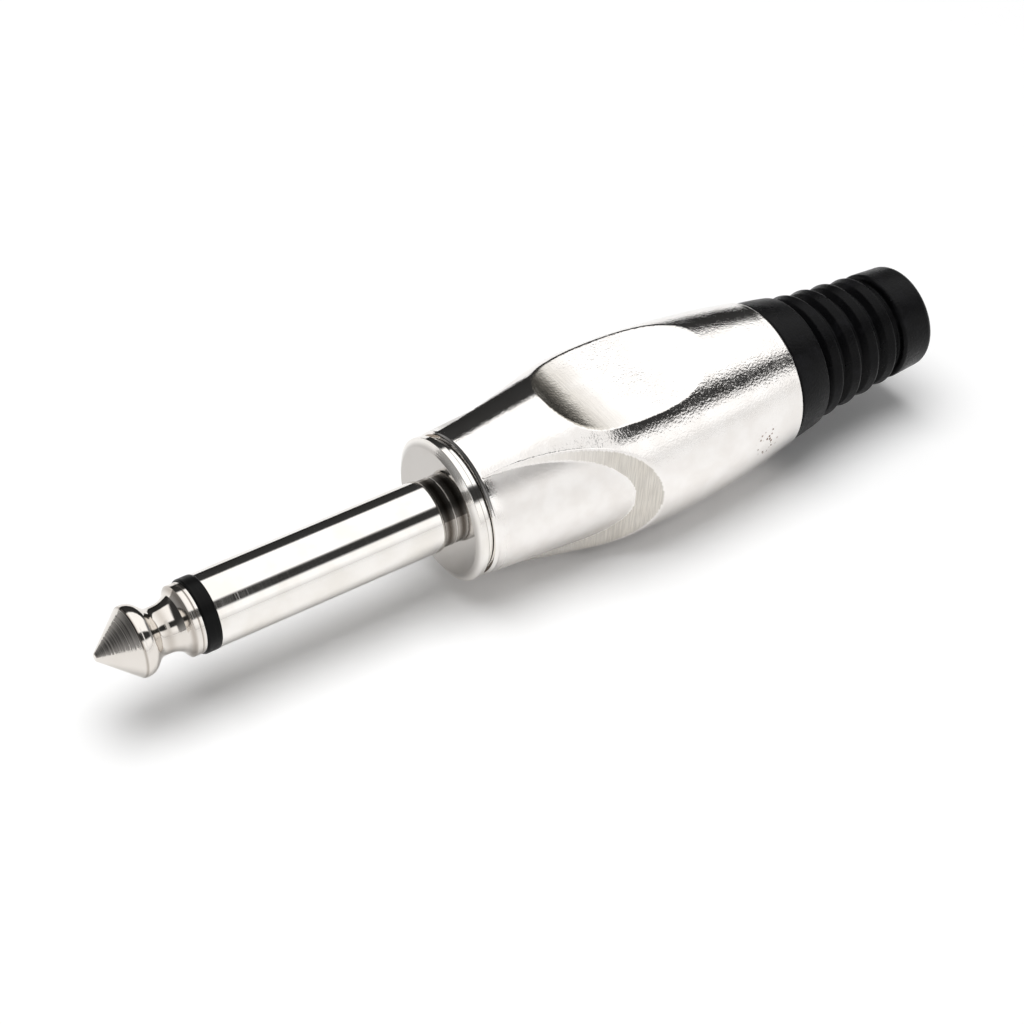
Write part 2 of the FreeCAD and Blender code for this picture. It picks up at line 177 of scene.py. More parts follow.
def corner_outline(points, closed, facet=FACET):
    """Round the corners of an outline of (station, radius, round) points. Gives its points,
    each with the normal that ends one stretch and the normal that starts the next. A round of
    None marks a point on a curve, which gets one mean normal."""
    count = len(points)
    spots = [np.array(point[:2], float) for point in points]
    rounds = [point[2] if len(point) > 2 else 0.0 for point in points]
    result = []
    for index, spot in enumerate(spots):
        before = spots[index - 1] if closed or index > 0 else None
        after = spots[(index + 1) % count] if closed or index < count - 1 else None
        way_in = None if before is None else unit(spot - before)
        way_out = None if after is None else unit(after - spot)
        if way_in is None:
            way_in = way_out
        if way_out is None:
            way_out = way_in
        left_in = np.array([-way_in[1], way_in[0]])
        left_out = np.array([-way_out[1], way_out[0]])
        if rounds[index] is None:
            mean = unit(left_in + left_out)
            result.append((spot, mean, mean))
            continue
        turn = math.atan2(way_in[0] * way_out[1] - way_in[1] * way_out[0], way_in @ way_out)
        if rounds[index] == 0.0 or abs(turn) < STRAIGHT:
            result.append((spot, left_in, left_out))
            continue
        side = 1.0 if turn > 0 else -1.0
        start = spot - way_in * rounds[index] * math.tan(abs(turn) / 2)
        centre = start + side * rounds[index] * left_in
        steps = max(2, int(math.ceil(math.degrees(abs(turn)) / facet)))
        for number in range(steps + 1):
            angle = turn * number / steps
            cos, sin = math.cos(angle), math.sin(angle)
            left = np.array([cos * left_in[0] - sin * left_in[1], sin * left_in[0] + cos * left_in[1]])
            result.append((centre - side * rounds[index] * left, left, left))
    return result


def arc_centre(start, end, radius):
    """Centre of an arc between two (station, radius) points that swells away from the axis."""
    start, end = np.array(start, float), np.array(end, float)
    chord = end - start
    length = np.linalg.norm(chord)
    inward = np.array([chord[1], -chord[0]]) / length
    return (start + end) / 2 + inward * math.sqrt(radius ** 2 - length ** 2 / 4)


def arc_points(start, end, radius, count):
    """Points on such an arc, without its two ends."""
    centre = arc_centre(start, end, radius)
    low = math.atan2(start[1] - centre[1], start[0] - centre[0])
    high = math.atan2(end[1] - centre[1], end[0] - centre[0])
    sweep = (high - low + math.pi) % (2 * math.pi) - math.pi
    inner = np.linspace(0, 1, count + 2)[1:-1]
    return [(centre[0] + radius * math.cos(low + sweep * part),
             centre[1] + radius * math.sin(low + sweep * part), None) for part in inner]


class Skin:
    """Collects the rings, faces and corner normals of one piece."""

    def __init__(self):
        self.points = []
        self.faces = []
        self.normals = []
        self.brushing_and_shade = []

    def ring(self, station, radius, columns):
        """One ring of points, or a single point where the radius is 0."""
        first = len(self.points)
        if np.ndim(radius) == 0 and radius < 1e-6:
            self.points.append((station, 0.0, 0.0))
            return [first] * columns
        phi = angles(columns)
        radius = np.broadcast_to(radius, columns)
        station = np.broadcast_to(station, columns)
        self.points.extend(zip(station, radius * np.cos(phi), radius * np.sin(phi)))
        return list(range(first, first + columns))

    def strip(self, a, b, normals_a, normals_b):
        """Join two rings with the same number of points. Either can be one point."""
        count = len(a)
        for j in range(count):
            k = (j + 1) % count
            if a[j] == a[k]:
                self.faces.append((a[j], b[k], b[j]))
                self.normals.extend((normals_a[j], normals_b[k], normals_b[j]))
            elif b[j] == b[k]:
                self.faces.append((a[j], a[k], b[j]))
                self.normals.extend((normals_a[j], normals_a[k], normals_b[j]))
            else:
                self.faces.append((a[j], a[k], b[k], b[j]))
                self.normals.extend((normals_a[j], normals_a[k], normals_b[k], normals_b[j]))

    def stitch(self, fine, coarse, normal, fine_first):
        """Join a ring to one with a quarter of its points, on a flat face."""
        for j in range(len(coarse)):
            f = [fine[(4 * j + part) % len(fine)] for part in range(5)]
            c = [coarse[j], coarse[(j + 1) % len(coarse)]]
            faces = [(f[0], f[1], c[0]), (f[1], f[2], c[0]), (f[2], c[1], c[0]),
                     (f[2], f[3], c[1]), (f[3], f[4], c[1])]
            for face in faces:
                self.faces.append(face if fine_first else face[::-1])
                self.normals.extend([normal] * 3)

    def turn(self, points, closed, columns, facet=FACET):
        """Turn a whole outline about the axis."""
        outline = corner_outline(points, closed, facet)
        rings = [self.ring(spot[0], spot[1], columns) for spot, _, _ in outline]
        last = len(rings) if closed else len(rings) - 1
        for index in range(last):
            following = (index + 1) % len(rings)
            start, end = outline[index][2], outline[following][1]
            self.strip(rings[index], rings[following],
                       turned_normals(columns, *start), turned_normals(columns, *end))
        return rings

    def relief(self, stations, radius, columns, side):
        """A surface whose radius varies with the angle and the station. Its normals point away
        from the axis with side 1, and towards it with side -1."""
        phi = angles(columns)
        rings, normals = [], []
        for station in stations:
            level = radius(phi, station)
            slope = radius(phi, station + STATION_STEP) - radius(phi, station - STATION_STEP)
            slope = slope / (2 * STATION_STEP)
            turn = radius(phi + ANGLE_STEP, station) - radius(phi - ANGLE_STEP, station)
            turn = turn / (2 * ANGLE_STEP) / level
            normal = np.stack([-slope, np.cos(phi) + turn * np.sin(phi),
                               np.sin(phi) - turn * np.cos(phi)], axis=-1)
            rings.append(self.ring(station, level, columns))
            normals.append(unit(normal) * side)
        for index in range(len(rings) - 1):
            self.strip(rings[index], rings[index + 1], normals[index], normals[index + 1])
        return rings, normals

    def make(self, name, material, body, slot, *nodes):
        """Lay the piece in the frame. Its first points can carry how much brushing and painted shade
        they have.
        """
        cos, sin = math.cos(LIE_ANGLE), math.sin(LIE_ANGLE)
        lie = np.array([[1.0, 0.0, 0.0], [0.0, cos, -sin], [0.0, sin, cos]])
        points = np.array(self.points) @ lie.T * MM + np.array([APEX_X, 0.0, AXIS_Z])
        normals = np.array(self.normals) @ lie.T
        mesh = bpy.data.meshes.new(name)
        mesh.from_pydata(points.tolist(), [], self.faces)
        mesh.polygons.foreach_set("use_smooth", [True] * len(mesh.polygons))
        mesh.normals_split_custom_set(normals.tolist())
        mesh.materials.append(material)
        if self.brushing_and_shade:
            values = self.brushing_and_shade + [0.0] * (len(self.points) - len(self.brushing_and_shade))
            mesh.attributes.new("brushing_and_shade", "FLOAT", "POINT").data.foreach_set("value", values)
        mesh.update()
        piece = bpy.data.objects.new(name, mesh)
        bpy.context.scene.collection.objects.link(piece)
        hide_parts(*nodes)
        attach(piece, body)


# Materials

class Graph:
    """A short way to write a material's or world's nodes."""

    def __init__(self, owner):
        owner.use_nodes = True
        self.tree = owner.node_tree
        self.tree.nodes.clear()

    def node(self, kind, inputs=(), **settings):
        node = self.tree.nodes.new(kind)
        for key, value in settings.items():
            setattr(node, key, value)
        for key, value in dict(inputs).items():
            if isinstance(value, bpy.types.NodeSocket):
                self.tree.links.new(value, node.inputs[key])
            else:
                node.inputs[key].default_value = value
        return node

    def where(self):
        """The place on the piece, in metres."""
        return self.node("ShaderNodeTexCoord").outputs["Object"]

    def place(self, scale, shift):
        """The place in millimetres times scale, moved so that no two patterns are alike."""
        if np.ndim(scale) == 0:
            scale = (scale, scale, scale)
        mapping = self.node("ShaderNodeMapping", {
            "Vector": self.where(), "Scale": tuple(part / MM for part in scale), "Location": shift})
        return mapping.outputs["Vector"]

    def noise(self, scale, detail, shift=(0.0, 0.0, 0.0), rough=0.5):
        noise = self.node("ShaderNodeTexNoise", {
            "Vector": self.place(scale, shift), "Scale": 1.0, "Detail": detail, "Roughness": rough})
        return noise.outputs["Fac"]

    def cells(self, scale, shift):
        cells = self.node("ShaderNodeTexVoronoi", {"Vector": self.place(scale, shift), "Scale": 1.0})
        return cells.outputs["Distance"]

    def station(self):
        along = self.node("ShaderNodeSeparateXYZ", {"Vector": self.where()}).outputs["X"]
        return self.math("MULTIPLY", self.math("SUBTRACT", along, float(APEX_X)), 1 / MM)

    def near(self, station, width):
        """1 at a station, falling to 0 at a width to both sides."""
        gap = self.math("ABSOLUTE", self.math("SUBTRACT", self.station(), station))
        return self.spread(gap, width, 0.0)

    def ahead(self, station):
        """1 from the tip's end to a station, then 0."""
        return self.spread(self.station(), station + 0.05, station - 0.05)

    def around(self, place, reach):
        """1 at a place given in millimetres in the frame, falling to 0 at its reach."""
        gap = self.node("ShaderNodeVectorMath", {
            0: self.where(), 1: tuple(MM * part for part in place)}, operation="DISTANCE")
        return self.spread(gap.outputs["Value"], reach * MM, 0.5 * reach * MM)

    def math(self, operation, *values, clamp=False):
        inputs = dict(enumerate(values))
        return self.node("ShaderNodeMath", inputs, operation=operation, use_clamp=clamp).outputs[0]

    def spread(self, value, low, high, to_low=0.0, to_high=1.0):
        """Ease from one value to another as the input goes from low to high."""
        node = self.node("ShaderNodeMapRange", {
            "Value": value, "From Min": low, "From Max": high, "To Min": to_low,
            "To Max": to_high}, interpolation_type="SMOOTHSTEP")
        return node.outputs["Result"]

    def blend(self, part, first, second):
        """The first number where part is 0 and the second where it is 1."""
        node = self.node("ShaderNodeMix", {0: part, 2: first, 3: second}, data_type="FLOAT")
        return node.outputs[0]

    def mix(self, part, first, second):
        """The same for colours."""
        node = self.node("ShaderNodeMix", {0: part, 6: first, 7: second}, data_type="RGBA")
        return node.outputs[2]

    def bump(self, height, microns, under=None):
        inputs = {"Height": height, "Distance": microns * MICRON}
        if under is not None:
            inputs["Normal"] = under
        return self.node("ShaderNodeBump", inputs).outputs["Normal"]

    def surface(self, **inputs):
        names = {name.replace("_", " "): value for name, value in inputs.items()}
        shader = self.node("ShaderNodeBsdfPrincipled", names)
        self.node("ShaderNodeOutputMaterial", {"Surface": shader.outputs[0]})


def colour(red, green, blue):
    """A colour from its 0-255 screen values."""
    values = []
    for value in (red, green, blue):
        value /= 255
        values.append(value / 12.92 if value <= 0.04045 else ((value + 0.055) / 1.055) ** 2.4)
    return (*values, 1.0)


def turned_nickel():
    """Polished nickel with the fine rings of turning, a few scratches, brown at the tip's edges and
    waist, and painted shade at the neck, the flange's face and the step.
    """
    material = bpy.data.materials.new("turned_nickel")
    graph = Graph(material)
    rings = graph.noise((9.0, 0.02, 0.02), 3.0)
    scratches = graph.noise((0.25, 6.0, 6.0), 4.0, shift=(7.0, 3.0, 1.0), rough=0.7)
    patches = graph.noise(0.35, 3.0, shift=(2.0, 5.0, 9.0))
    tone = graph.mix(graph.spread(patches, 0.35, 0.7), colour(240, 237, 233), colour(232, 228, 222))
    tip = graph.ahead(RING_START - 0.1)
    tone = graph.mix(graph.math("MULTIPLY", tip, 0.6), tone, colour(216, 209, 201))
    # umber and grey are painted shade; brown also paints the shadow in the step.
    brown, umber, grey = colour(104, 84, 62), colour(72, 60, 48), colour(176, 172, 168)
    # Brown at the ball's edge, waist, foot and line of the collar; painted shade in the neck, a painted
    # reflection of the shaded floor at the foot of the flange and a painted shadow in the step: the
    # station, the width to both sides, the strength and the shade.
    stains_and_painted_shade = (
        (CONE_END, 0.16, 0.5, brown),
        (5.6, 0.7, 0.3, brown),
        (COLLAR_START - 0.12, 0.3, 0.45, brown),
        (COLLAR_LINE + 0.05, 0.12, 0.5, brown),
        (NECK_START + 0.45, 0.75, 0.9, umber),
        (FLANGE + 0.05, 0.25, 0.85, grey),
        (STEP_START + 0.01, 0.12, 0.8, brown))
    for station, width, strength, shade in stains_and_painted_shade:
        tone = graph.mix(graph.math("MULTIPLY", graph.near(station, width), strength), tone, shade)
    rough = graph.math("ADD", graph.spread(rings, 0.35, 0.7, 0.05, 0.1),
                       graph.spread(scratches, 0.6, 0.8, 0.0, 0.08))
    # The rings are 8 times as deep on the cone.
    depth = graph.math("ADD", 1.0, graph.math("MULTIPLY", graph.ahead(CONE_END - 0.06), 7.0))
    normal = graph.bump(graph.math("MULTIPLY", rings, depth), 3.5)
    normal = graph.bump(scratches, 1.2, normal)
    graph.surface(Base_Color=tone, Metallic=1.0, Roughness=rough, Normal=normal)
    return material


# The middle of the pits, in millimetres in the frame, and how far they reach
PIT_PLACE = (19.6, -7.6, 7.6)
PIT_REACH = 1.7


def shell_plate():
    """Bright plating over a casting: grainy, with brushing and painted shade on its scoops' walls and a
    few brown pits.
    """
    material = bpy.data.materials.new("shell_plate")
    graph = Graph(material)
    grain = graph.noise(4.6, 2.0, shift=(1.0, 2.0, 3.0), rough=0.6)
    coarse = graph.noise(0.16, 2.0, shift=(6.0, 3.0, 1.0))
    swell = graph.noise(0.5, 2.0, shift=(4.0, 1.0, 6.0))
    drawn = graph.noise((0.4, 4.0, 4.0), 3.0, shift=(9.0, 2.0, 5.0))
    strokes = graph.noise((11.0, 0.4, 0.4), 2.0, shift=(3.0, 7.0, 5.0))
    # The piece's attribute is over 0 where it has brushing and painted shade and under 0 where it is
    # satin.
    worked = graph.node("ShaderNodeAttribute", attribute_name="brushing_and_shade").outputs["Fac"]
    brushing_and_shade = graph.math("MAXIMUM", worked, 0.0)
    satin = graph.spread(worked, 0.0, -1.0, 0.0, 0.3)
    pits = graph.spread(graph.cells(2.3, (3.0, 3.0, 3.0)), 0.36, 0.14)
    pitted = graph.math("MULTIPLY", pits, graph.around(PIT_PLACE, PIT_REACH))
    tone = graph.mix(graph.spread(swell, 0.3, 0.7), colour(243, 240, 237), colour(236, 232, 228))
    # The scoops' walls are painted darker and browner than the plating: painted shade for the dim,
    # shadowed floor they mirror, with brushing streaks through it.
    streaks_and_painted_shade = graph.mix(graph.spread(strokes, 0.35, 0.65), colour(150, 143, 130), colour(188, 182, 169))
    tone = graph.mix(graph.math("MULTIPLY", brushing_and_shade, 0.85), tone, streaks_and_painted_shade)
    tone = graph.mix(pitted, tone, colour(120, 84, 54))
    rough = graph.spread(grain, 0.3, 0.75, 0.05, 0.1)
    rough = graph.math("ADD", rough, graph.math("MULTIPLY", pitted, 0.4))
    rough = graph.math("ADD", rough, graph.math("MULTIPLY", brushing_and_shade, 0.16))
    rough = graph.math("ADD", rough, satin)
    # The grain is strongest behind the scoops and on their walls, where the brushing is.
    behind = graph.spread(graph.station(), SHELL_START + 7.0, SHELL_START + 20.0, 0.3, 1.0)
    behind = graph.math("MAXIMUM", behind, graph.math("MULTIPLY", brushing_and_shade, 0.9))
    rise = graph.math("MULTIPLY", grain, graph.spread(coarse, 0.3, 0.65, 0.7, 1.3))
    rise = graph.math("MULTIPLY", rise, behind)
    normal = graph.bump(swell, 22.0)
    normal = graph.bump(drawn, 4.0, normal)
    normal = graph.bump(rise, 24.0, normal)
    normal = graph.bump(graph.math("MULTIPLY", strokes, brushing_and_shade), 5.0, normal)
    normal = graph.bump(pitted, -40.0, normal)
    graph.surface(Base_Color=tone, Metallic=1.0, Roughness=rough, Normal=normal)
    return material


def ring_plastic():
    """Black plastic, faintly scuffed."""
    material = bpy.data.materials.new("ring_plastic")
    graph = Graph(material)
    scuffs = graph.noise((6.0, 0.5, 0.5), 4.0)
    tone = graph.mix(graph.spread(scuffs, 0.5, 0.8), colour(13, 13, 13), colour(24, 23, 23))
    rough = graph.spread(scuffs, 0.3, 0.75, 0.3, 0.45)
    graph.surface(Base_Color=tone, Roughness=rough, Specular_IOR_Level=0.1,
                  Normal=graph.bump(scuffs, 4.0))
    return material


def worn_rubber():
    """Black rubber with a faint sheen, worn grey in small patches."""
    material = bpy.data.materials.new("worn_rubber")
    graph = Graph(material)
    skin = graph.noise(4.5, 4.0, shift=(1.0, 1.0, 5.0), rough=0.6)
    patches = graph.noise(0.5, 3.0, shift=(5.0, 2.0, 8.0), rough=0.6)
    tone = graph.mix(graph.spread(patches, 0.5, 0.75), colour(8, 8, 9), colour(20, 20, 22))
    tone = graph.mix(graph.spread(skin, 0.64, 0.82), tone, colour(46, 47, 52))
    rough = graph.spread(patches, 0.3, 0.7, 0.24, 0.4)
    graph.surface(Base_Color=tone, Roughness=rough, Specular_IOR_Level=0.1,
                  Normal=graph.bump(skin, 40.0))
    return material


def plain_plastic(name, first, second, low, high, transmission=0.0):
    """Moulded plastic or fibre whose tone and gloss vary a little."""
    material = bpy.data.materials.new(name)
    graph = Graph(material)
    field = graph.noise(1.2, 4.0)
    fine = graph.noise(14.0, 2.0)
    tone = graph.mix(graph.spread(field, 0.3, 0.7), first, second)
    rough = graph.spread(field, 0.3, 0.7, low, high)
    graph.surface(Base_Color=tone, Roughness=rough, Transmission_Weight=transmission,
                  Normal=graph.bump(fine, 6.0))
    return material


def plain_metal(name, first, second, low, high):
    """Brass or tinned sheet with fine marks."""
    material = bpy.data.materials.new(name)
    graph = Graph(material)
    field = graph.noise(0.8, 4.0)
    marks = graph.noise((1.5, 12.0, 12.0), 3.0)
    tone = graph.mix(graph.spread(field, 0.3, 0.7), first, second)
    rough = graph.spread(marks, 0.3, 0.7, low, high)
    graph.surface(Base_Color=tone, Metallic=1.0, Roughness=rough, Normal=graph.bump(marks, 3.0))
    return material


def dress(node, material):
    """Give a piece that keeps its solid a material."""
    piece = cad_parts[node]
    if not piece.data.materials:
        piece.data.materials.append(material)
    for slot in piece.material_slots:
        slot.material = material


NICKEL = turned_nickel()
PLATE = shell_plate()
RING = ring_plastic()
RUBBER = worn_rubber()

dress("insulating_tube", plain_plastic(
    "tube_plastic", colour(226, 222, 212), colour(214, 209, 198), 0.35, 0.5))
dress("liner", plain_plastic(
    "liner_plastic", colour(206, 204, 196), colour(190, 187, 178), 0.3, 0.45, transmission=0.35))
dress("lug_washer", plain_plastic("fibre", colour(126, 62, 44), colour(104, 50, 36), 0.6, 0.75))
dress("centre_rod", plain_metal("rod_brass", colour(206, 176, 106), colour(190, 158, 92), 0.2, 0.35))
for lug, tinned in (("earth_lug", "tinned_earth"), ("tip_lug", "tinned_tip")):
    dress(lug, plain_metal(tinned, colour(206, 205, 200), colour(188, 187, 182), 0.28, 0.42))


# Tip and black ring

def make_tip():
    """Nose, cone, ball, waist and collar, with a line turned into the collar."""
    skin = Skin()
    ball = [(CONE_END, 3.0, 0.03), (3.3, 3.06, None), (3.6, 3.035, None), (3.9, 2.955, None),
            (4.2, 2.77, None), (4.5, 2.475, None), (4.8, 2.215, None)]
    waist = [(5.05, 2.08, None), (5.25, 2.045, None), (5.6, 2.035, None), (6.0, 2.05, None),
             (6.4, 2.145, None), (6.7, 2.27, None), (6.98, 2.44, 0.04)]
    line_radius = COLLAR_RADIUS - LINE_DEPTH
    collar = [(COLLAR_START, COLLAR_RADIUS, 0.05), (COLLAR_LINE, COLLAR_RADIUS, 0.02),
              (COLLAR_LINE + 0.03, line_radius, 0.02), (COLLAR_LINE + 0.08, line_radius, 0.02),
              (COLLAR_LINE + 0.11, COLLAR_RADIUS, 0.02),
              (RING_START - 0.04, COLLAR_RADIUS, 0.03), (RING_START, COLLAR_RADIUS - 0.04, 0.02)]
    hole_end = RING_START - ROD_IN_TIP + HOLE_CLEARANCE
    hole = [(RING_START, ROD_HOLE_RADIUS), (hole_end, ROD_HOLE_RADIUS), (hole_end, 0.0)]
    skin.turn([(0.0, 0.0), (0.0, NOSE_RADIUS, 0.08)] + ball + waist + collar + hole,
              closed=False, columns=144, facet=10.0)
    skin.make("tip_contact", NICKEL, "plug", "nickel", "tip")


def make_black_ring():
    """The ring that is seen, with its spigot inside the shank."""
    skin = Skin()
    skin.turn(
        [(RING_START, ROD_HOLE_RADIUS), (RING_START, RING_RADIUS - 0.06, 0.06),
         (RING_START + RING_BEVEL, RING_RADIUS, 0.1), (RING_END - RING_BEVEL, RING_RADIUS, 0.1),
         (RING_END, RING_RADIUS - 0.03, 0.04), (RING_END, SPIGOT_RADIUS),
         (SPIGOT_END, SPIGOT_RADIUS), (SPIGOT_END, ROD_HOLE_RADIUS)],
        closed=True, columns=128)
    skin.make("black_ring", RING, "plug", "black_plastic", "insulating_ring")


# Shank and threaded body

def thread_shape(phi, station, start, end):
    """How far up the thread's flank a point is, from 0 at its root to 1 at its crest, both a
    little flat. The thread fades out over half a millimetre at its two ends."""
    turn = np.mod((station - THREAD_PITCH * phi / (2 * math.pi)) / THREAD_PITCH, 1.0)
    height = np.clip(1.35 * (1.0 - np.abs(2.0 * turn - 1.0)) - 0.15, 0.0, 1.0)
    ends = np.clip(min(station - start, end - station) / 0.5, 0.0, 1.0)
    return height * ends


def body_thread(phi, station):
    return THREAD_ROOT + THREAD_HEIGHT * thread_shape(
        phi, station, THREAD_START + 0.01, THREAD_STOP - 0.05)


def make_sleeve():
    """Shank, neck, bevelled flange, step, threaded body and the rivet that holds the earth lug."""
    columns = 144
    spigot_hole = SPIGOT_RADIUS + HOLE_CLEARANCE
    disc_end = THREAD_END + LUG_THICKNESS
    rivet_end = disc_end + RIVET_LENGTH
    skin = Skin()
    outside = skin.turn(
        [(RING_END, spigot_hole), (RING_END, SHANK_RADIUS, 0.04), (NECK_START, SHANK_RADIUS, 0.3),
         (NECK_START, NECK_RADIUS), (FLANGE, NECK_RADIUS, 0.06),
         (FLANGE, FLANGE_RADIUS - FLANGE_BEVEL_DEPTH, 0.05),
         (FLANGE + FLANGE_BEVEL - 0.03, FLANGE_RADIUS - 0.05, 0.1),
         (FLANGE + FLANGE_BEVEL, FLANGE_RADIUS, 0.04), (STEP_START, FLANGE_RADIUS, 0.05),
         (STEP_START, STEP_RADIUS, 0.04), (THREAD_START, STEP_RADIUS, 0.04),
         (THREAD_START, THREAD_ROOT)],
        closed=False, columns=columns)
    stations = np.arange(THREAD_START, THREAD_STOP, THREAD_RING_GAP)
    rings, normals = skin.relief(stations, body_thread, columns, side=1)
    skin.strip(outside[-1], rings[0], normals[0], normals[0])
    inside = skin.turn(
        [(THREAD_STOP, THREAD_ROOT), (THREAD_END, THREAD_ROOT, 0.05), (THREAD_END, BOSS_RADIUS),
         (disc_end, BOSS_RADIUS), (disc_end, RIVET_RADIUS, 0.05), (rivet_end, RIVET_RADIUS, 0.08),
         (rivet_end, TUBE_HOLE_RADIUS), (SPIGOT_END + 0.05, TUBE_HOLE_RADIUS),
         (SPIGOT_END, spigot_hole), (RING_END, spigot_hole)],
        closed=False, columns=columns)
    skin.strip(rings[-1], inside[0], normals[-1], turned_normals(columns, 0.0, 1.0))
    skin.make("sleeve_body", NICKEL, "plug", "nickel", "sleeve")


# Shell

def least(a, b, width):
    """The smaller of two heights, with a round of about a width where they cross."""
    near = np.maximum(width - np.abs(a - b), 0.0) / width
    return np.minimum(a, b) - near * near * width / 4


def most(a, b, width):
    """The larger of two heights, rounded in the same way."""
    return -least(-a, -b, width)


def share(x, start, end):
    """How far x is from start to end, between 0 and 1."""
    return min(max((x - start) / (end - start), 0.0), 1.0)


def across(phi):
    """The height of a flat floor beside the axis, divided by this, is its radius."""
    return np.maximum(np.abs(np.cos(phi)), 1e-3)


def upright(phi):
    """The same for a floor above or below the axis."""
    return np.maximum(np.abs(np.sin(phi)), 1e-3)


def barrel(x):
    """Radius beside the scoops: chamfer, cone, swelling curve, long curve and rear edge."""
    if x < FRONT_CHAMFER:
        return CORE_RADIUS - FRONT_CHAMFER + x
    if x < FLARE_END:
        slope = (FLARE_RADIUS - CORE_RADIUS) / (FLARE_END - FRONT_CHAMFER)
        return CORE_RADIUS + (x - FRONT_CHAMFER) * slope
    if x < CROWN_AT:
        centre = arc_centre((FLARE_END, FLARE_RADIUS), (CROWN_AT, CROWN_RADIUS), FLARE_ROUND)
        return centre[1] + math.sqrt(FLARE_ROUND ** 2 - (x - centre[0]) ** 2)
    if x < REAR_AT:
        drop = CROWN_RADIUS - REAR_RADIUS
        back = ((REAR_AT - CROWN_AT) ** 2 + drop ** 2) / (2 * drop)
        return CROWN_RADIUS - back + math.sqrt(back ** 2 - (x - CROWN_AT) ** 2)
    return REAR_RADIUS - REAR_ROUND + math.sqrt(max(REAR_ROUND ** 2 - (x - REAR_AT) ** 2, 0.0))


def flank(x):
    """Height of a front scoop's floor."""
    return FLANK_CENTRE[1] - math.sqrt(FLANK_ROUND ** 2 - (x - FLANK_CENTRE[0]) ** 2)


def core(x):
    """Radius that stays round inside the front scoops."""
    if x < FRONT_CHAMFER:
        return CORE_RADIUS - FRONT_CHAMFER + x
    slope = (CORE_END_RADIUS - CORE_RADIUS) / (FLANK_END - FRONT_CHAMFER)
    return CORE_RADIUS + (x - FRONT_CHAMFER) * slope


def oval(x):
    """Height of an oval scoop's floor: front wall, flat floor and long run-out."""
    if x < OVAL_FLOOR_AT:
        rise = math.sqrt(OVAL_FRONT_ROUND ** 2 - (OVAL_FLOOR_AT - x) ** 2)
        return OVAL_FLOOR + OVAL_FRONT_ROUND - rise
    if x < OVAL_FLOOR_END:
        return OVAL_FLOOR
    return OVAL_FLOOR + OVAL_REAR_ROUND - math.sqrt(OVAL_REAR_ROUND ** 2 - (x - OVAL_FLOOR_END) ** 2)


def place_on_shell(station):
    return min(max(station - SHELL_START, 0.0), SHELL_LENGTH)


def shell_radius(phi, station):
    """Radius of the outside, with its scoops."""
    x = place_on_shell(station)
    radius = np.full(phi.shape, barrel(x))
    if x < FLANK_STOP:
        scoop = most(flank(x) / across(phi), np.full(phi.shape, core(x)), 0.12)
        # The edge of a front scoop is sharp at the mouth and rounder farther back.
        radius = least(radius, scoop, min(0.1 * x, 0.3)) if x > 0.3 else np.minimum(radius, scoop)
    if OVAL_FROM_AT <= x <= OVAL_TO_AT:
        radius = least(radius, oval(x) / upright(phi), 0.14)
    return radius


def shell_brushing_and_shade(phi, station):
    """How much brushing and painted shade the shell carries: most on the front walls of its scoops.
    Under 0 it is satin.
    """
    x = place_on_shell(station)
    amount = np.zeros(phi.shape)
    if x < FLANK_STOP:
        scoop = flank(x) / across(phi)
        on_flank = (scoop < barrel(x)) & (scoop > core(x))
        amount = np.where(on_flank, max(share(x, 3.0, 12.0), 0.15) * 0.7, amount)
        amount = np.where(scoop <= core(x), -share(x, 0.0, 1.6), amount)
    if OVAL_FROM_AT <= x <= OVAL_TO_AT:
        in_oval = oval(x) / upright(phi) < shell_radius(phi, station) + 0.05
        amount = np.where(in_oval, share(x, 14.2, 10.0), amount)
    return amount


def shell_thread(phi, station):
    return NUT_RADIUS + NUT_THREAD_HEIGHT * thread_shape(phi, station, NUT_START, NUT_END)


def make_shell():
    """Scooped outside, pocket for the boot's flange, bore, internal thread and mouth."""
    fine, coarse = 360, 90
    skin = Skin()
    # The rings lie close together over the scoops and wider apart behind them.
    mouth_edge = [0.0, 0.07, 0.14, FRONT_CHAMFER]
    scooped = np.arange(0.3, 24.9, 0.118)
    plain = np.linspace(25.1, REAR_AT, 14)
    rear_edge = REAR_AT + REAR_ROUND * np.sin(np.radians([15, 30, 45, 60, 75, 88]))
    stations = np.concatenate([mouth_edge, scooped, plain, rear_edge]) + SHELL_START
    outer, outer_normals = skin.relief(stations, shell_radius, fine, side=1)
    for station in stations:
        skin.brushing_and_shade.extend(shell_brushing_and_shade(angles(fine), station).tolist())
    rear = skin.ring(SHELL_END, REAR_RADIUS - REAR_ROUND, fine)
    skin.strip(outer[-1], rear, outer_normals[-1], turned_normals(fine, 1.0, 0.0))
    lip_radius = BOOT_NECK_RADIUS + BOOT_CLEARANCE
    pocket_radius = BOOT_FLANGE_RADIUS + BOOT_CLEARANCE
    pocket_start = BOOT_START - BOOT_CLEARANCE
    back = skin.turn(
        [(SHELL_END, lip_radius), (LIP_START, lip_radius), (LIP_START, pocket_radius, 0.1),
         (pocket_start, pocket_radius, 0.1), (pocket_start, CAVITY_RADIUS, 0.1),
         (SHELL_START + SEAT_LENGTH, CAVITY_RADIUS)],
        closed=False, columns=coarse)
    skin.stitch(rear, back[0], (1.0, 0.0, 0.0), fine_first=True)
    stations = np.arange(NUT_END, NUT_START, -NUT_RING_GAP)
    inner, _ = skin.relief(stations, shell_thread, coarse, side=-1)
    shoulder = turned_normals(coarse, -1.0, 0.0)
    skin.strip(back[-1], inner[0], shoulder, shoulder)
    mouth = skin.ring(SHELL_START, CAVITY_RADIUS, coarse)
    slant = turned_normals(coarse, -0.5, -0.866)
    skin.strip(inner[-1], mouth, slant, slant)
    skin.stitch(outer[0], mouth, (-1.0, 0.0, 0.0), fine_first=False)
    skin.make("shell_barrel", PLATE, "shell", "shell_plate", "shell")


# Boot

